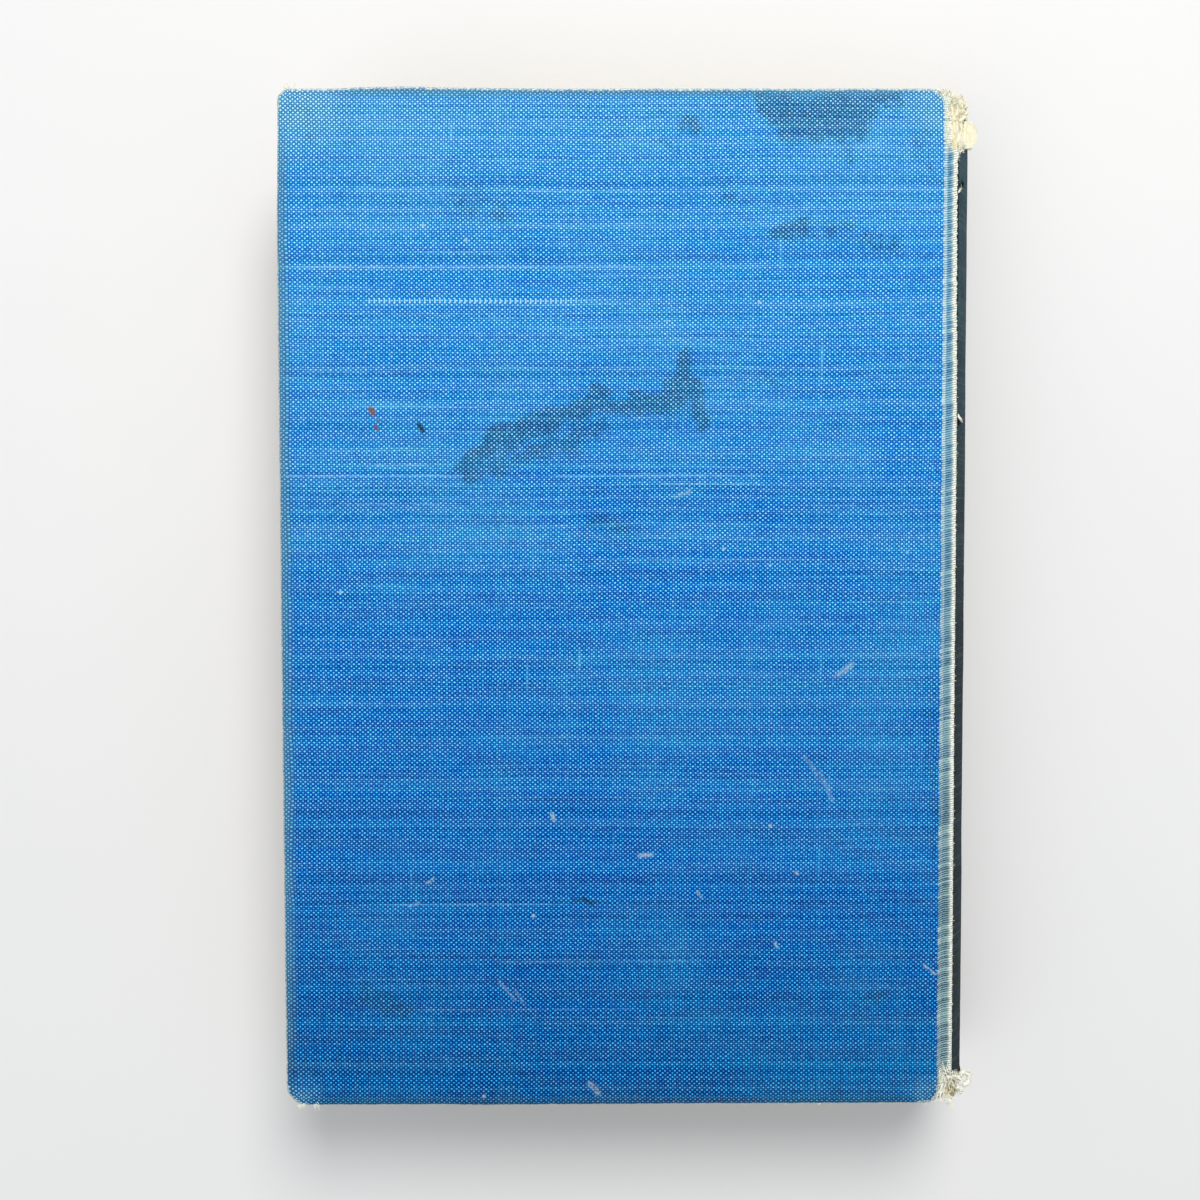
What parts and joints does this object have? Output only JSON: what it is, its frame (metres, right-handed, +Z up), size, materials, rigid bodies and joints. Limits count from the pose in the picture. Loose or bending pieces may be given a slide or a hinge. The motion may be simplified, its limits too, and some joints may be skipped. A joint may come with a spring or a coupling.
{
  "type": "hardback book",
  "caption": "Old cloth-bound hardback book with a rounded spine, worn corners and torn spine ends, lying closed, with both covers hinged",
  "frame": {"origin": "under the middle of the closed book, on the surface that it lies on", "axes": "+X from the fore-edge to the spine, +Y from the tail to the head, +Z up from the front cover to the back cover"},
  "size_m": [0.1318, 0.193, 0.028],
  "materials": {
    "leaves": "matte",
    "endpaper": "matte",
    "gauze": "matte",
    "lining": "matte",
    "card": "matte",
    "spine_cloth": "matte",
    "board": "matte",
    "cover_cloth": "matte"
  },
  "bodies": {
    "book_block": {"text_block": "leaves", "front_flyleaf": "endpaper", "back_flyleaf": "endpaper", "spine_gauze": "gauze", "spine_lining": "lining", "spine_card": "card", "spine_cloth": "spine_cloth"},
    "front_cover": {"front_board": "board", "front_cloth": "cover_cloth", "front_gauze_flap": "gauze", "front_pastedown": "endpaper"},
    "back_cover": {"back_board": "board", "back_cloth": "cover_cloth", "back_gauze_flap": "gauze", "back_pastedown": "endpaper"}
  },
  "joints": [
    {"name": "front_cover_hinge", "type": "hinge", "parent": "book_block", "child": "front_cover", "pos_m": [0.06145, 0, 0.0017], "axis": [0, -1, 0], "range_deg": [0, 180]},
    {"name": "back_cover_hinge", "type": "hinge", "parent": "book_block", "child": "back_cover", "pos_m": [0.06145, 0, 0.0263], "axis": [0, 1, 0], "range_deg": [0, 180]}
  ]
}
